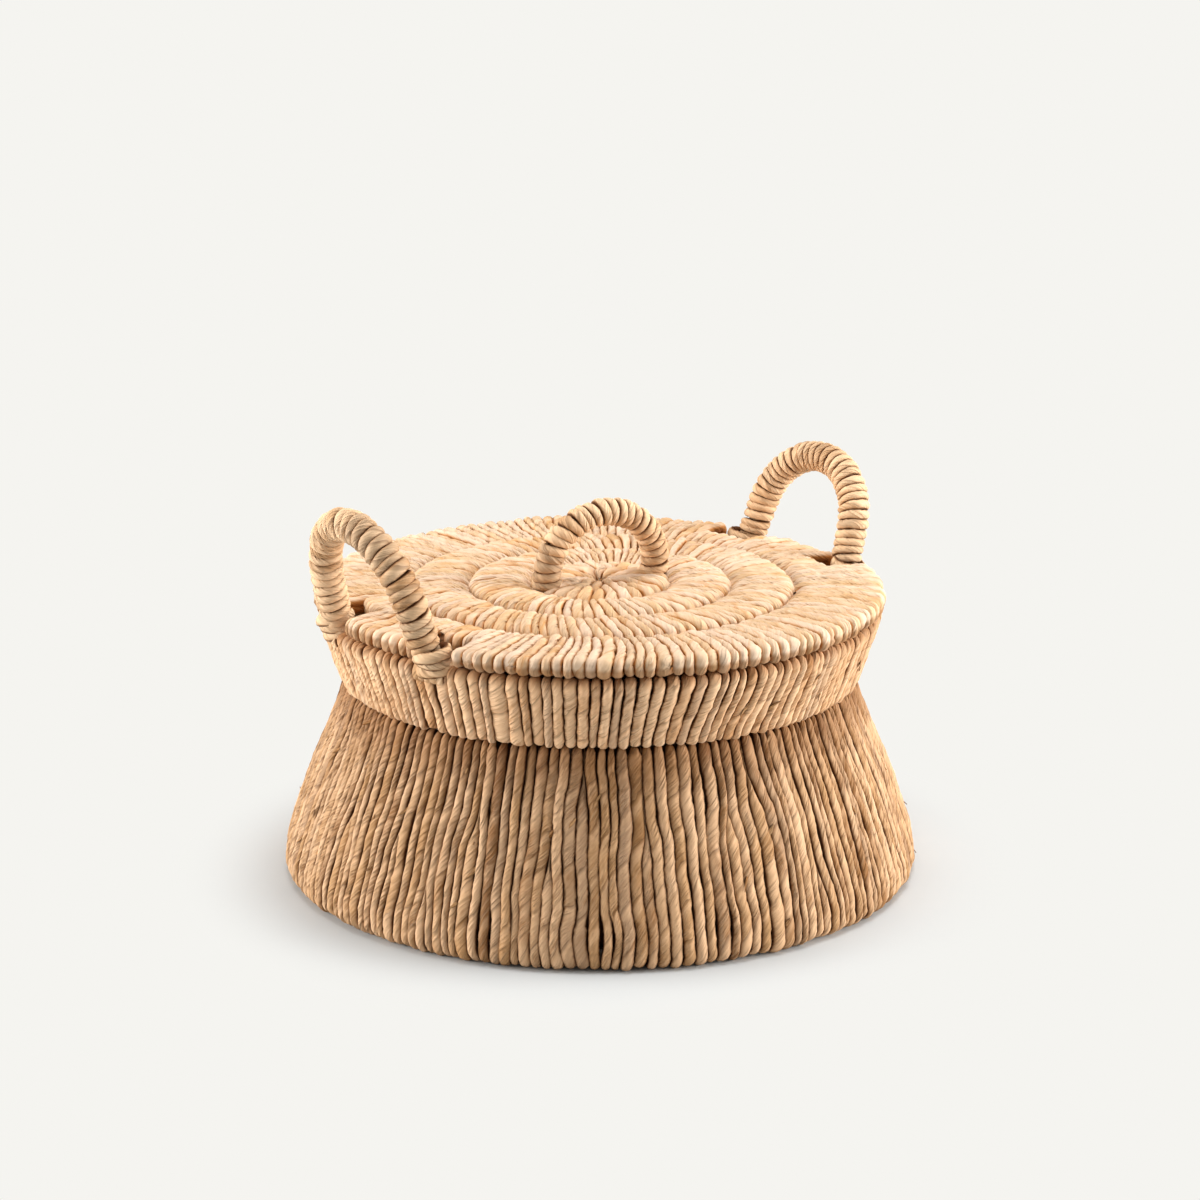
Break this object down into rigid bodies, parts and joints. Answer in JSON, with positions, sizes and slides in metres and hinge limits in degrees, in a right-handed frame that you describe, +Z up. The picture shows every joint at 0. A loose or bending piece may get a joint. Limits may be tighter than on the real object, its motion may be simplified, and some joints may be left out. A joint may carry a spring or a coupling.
{
  "type": "woven lidded box",
  "caption": "Round woven basket box with a flared skirt, a collar, two arched side handles and a lift-off lid notched around the handles' feet, with an arched lid handle.",
  "frame": {"origin": "on the ground at the centre of the round base", "axes": "+Z up; the side handles stand on +X and -X; the lid handle's arch runs nearly along X"},
  "size_m": [0.4, 0.4, 0.2548],
  "materials": {
    "cord": "matt twisted plant fibre",
    "pale_cord": "matt twisted plant fibre, paler",
    "stalk": "bundled dry stalks",
    "wire": "dark drawn wire"
  },
  "bodies": {
    "basket": {"skirt_weave": "cord", "base_rod": "wire", "neck_ring": "wire", "rim_ring": "wire", "floor_weave": "cord", "floor_spokes": "wire", "collar_weave": "cord", "skirt_strut_1": "wire", "collar_strut_1": "wire", "skirt_strut_2": "wire", "collar_strut_2": "wire", "skirt_strut_3": "wire", "collar_strut_3": "wire", "skirt_strut_4": "wire", "collar_strut_4": "wire", "skirt_strut_5": "wire", "collar_strut_5": "wire", "skirt_strut_6": "wire", "collar_strut_6": "wire", "skirt_strut_7": "wire", "collar_strut_7": "wire", "skirt_strut_8": "wire", "collar_strut_8": "wire", "right_handle_wire": "wire", "right_handle_padding": "stalk", "right_handle_wrap": "pale_cord", "right_handle_lashing_1": "pale_cord", "right_handle_lashing_2": "pale_cord", "left_handle_wire": "wire", "left_handle_padding": "stalk", "left_handle_wrap": "pale_cord", "left_handle_lashing_1": "pale_cord", "left_handle_lashing_2": "pale_cord"},
    "lid": {"lid_centre_weave": "pale_cord", "lid_inner_weave": "pale_cord", "lid_middle_weave": "pale_cord", "lid_outer_weave": "pale_cord", "lid_spokes": "wire", "lid_rim_wire": "wire", "lid_ring_1": "wire", "lid_ring_2": "wire", "lid_ring_3": "wire", "lid_handle_wire": "wire", "lid_handle_padding": "stalk", "lid_handle_wrap": "pale_cord"}
  },
  "joints": [
    {"name": "lid_lift", "type": "slide", "parent": "basket", "child": "lid", "axis": [0, 0, 1], "range_m": [0, 0.12]}
  ]
}
